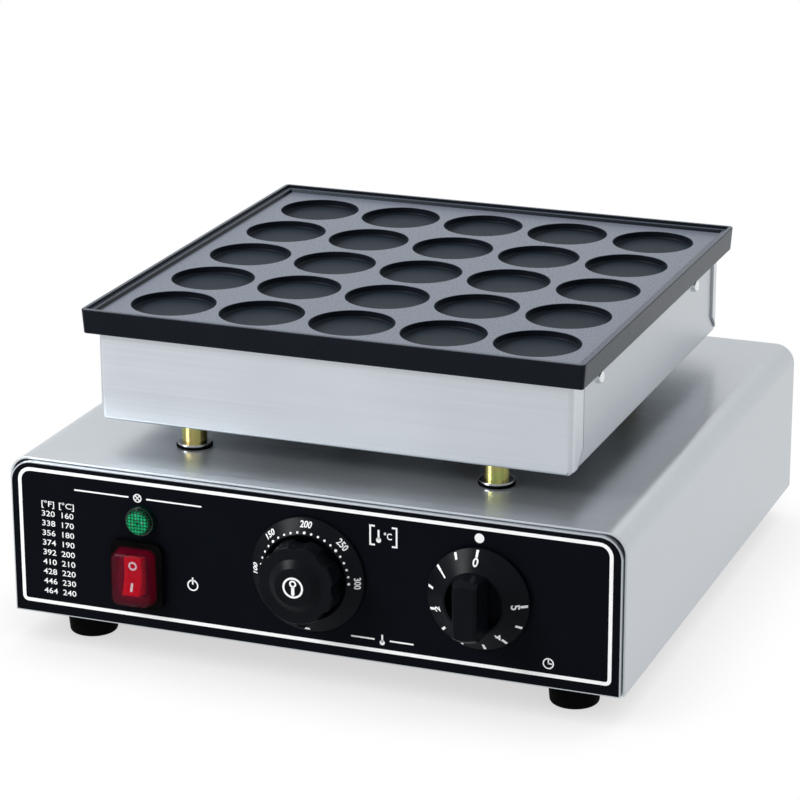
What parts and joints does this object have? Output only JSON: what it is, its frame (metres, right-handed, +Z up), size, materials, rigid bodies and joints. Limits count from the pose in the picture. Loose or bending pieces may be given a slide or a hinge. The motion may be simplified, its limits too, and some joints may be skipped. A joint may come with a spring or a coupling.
{
  "type": "mini pancake maker",
  "caption": "Countertop mini pancake maker: a square cast plate with a grid of round cups on a heated steel pan, over a control base with switch, lamp and two dials.",
  "frame": {"origin": "on the table under the middle of the base", "axes": "+Z up, -Y towards the person at the controls, +X to that person's right"},
  "size_m": [0.368, 0.414, 0.1945],
  "materials": {
    "coated_plate": "dark non-stick coating on cast aluminium, satin",
    "sheet_steel": "brushed stainless sheet",
    "bright_fixings": "bright zinc plate",
    "yellow_zinc": "yellow zinc plate",
    "heater_sheath": "heat-stained sheath",
    "reflector": "bright aluminised sheet",
    "ceramic": "white ceramic, matte",
    "blanket": "ceramic fibre felt",
    "copper": "drawn copper",
    "black_rubber": "matte moulded rubber",
    "black_film": "satin printed film",
    "black_plastic": "satin black moulding",
    "red_plastic": "glossy translucent red",
    "red_boot": "soft translucent dark red",
    "green_lens": "clear green, faceted",
    "thermostat_metal": "zinc-plated case",
    "timer_plastic": "moulded case",
    "lead_jacket": "silicone jacket",
    "glass_sleeve": "braided glass sleeve"
  },
  "bodies": {
    "chassis": {"cooking_plate": "coated_plate", "heater_pan": "sheet_steel", "pan_screws": "bright_fixings", "heating_element": "heater_sheath", "element_seals": "ceramic", "element_clamps": "sheet_steel", "clamp_screws": "bright_fixings", "heat_reflector": "reflector", "insulation_blanket": "blanket", "sensor_bulb": "copper", "bulb_clip": "sheet_steel", "capillary_tube": "copper", "standoff_tubes": "yellow_zinc", "standoff_washers": "bright_fixings", "standoff_pads": "black_rubber", "standoff_bolts": "bright_fixings", "standoff_nuts": "bright_fixings", "lead_conduit": "yellow_zinc", "conduit_nuts": "bright_fixings", "base_cover": "sheet_steel", "front_panel": "sheet_steel", "front_film": "black_film", "rear_panel": "sheet_steel", "bottom_plate": "sheet_steel", "bottom_screws": "bright_fixings", "rubber_feet": "black_rubber", "foot_screws": "bright_fixings", "foot_nuts": "bright_fixings", "lamp_bezel": "black_plastic", "lamp_lens": "green_lens", "lamp_nut": "bright_fixings", "switch_housing": "black_plastic", "switch_boot": "red_boot", "switch_blades": "yellow_zinc", "thermostat_body": "thermostat_metal", "temperature_ring": "black_plastic", "timer_body": "timer_plastic", "control_screws": "bright_fixings", "terminal_block": "ceramic", "gland_body": "black_plastic", "gland_cap": "black_plastic", "gland_locknut": "black_plastic", "control_leads": "lead_jacket", "heater_leads": "glass_sleeve"},
    "rocker": {"switch_rocker": "red_plastic"},
    "temperature": {"temperature_knob": "black_plastic", "thermostat_spindle": "bright_fixings"},
    "timer": {"timer_knob": "black_plastic", "timer_spindle": "bright_fixings"}
  },
  "joints": [
    {"name": "rocker_tilt", "type": "hinge", "parent": "chassis", "child": "rocker", "pos_m": [-0.103, -0.182, 0.0515], "axis": [1, 0, 0], "range_deg": [0, 18]},
    {"name": "temperature_turn", "type": "hinge", "parent": "chassis", "child": "temperature", "pos_m": [0.0015, -0.19, 0.066], "axis": [0, 1, 0], "range_deg": [0, 270]},
    {"name": "timer_turn", "type": "hinge", "parent": "chassis", "child": "timer", "pos_m": [0.102, -0.19, 0.066], "axis": [0, 1, 0], "range_deg": [0, 270]}
  ]
}
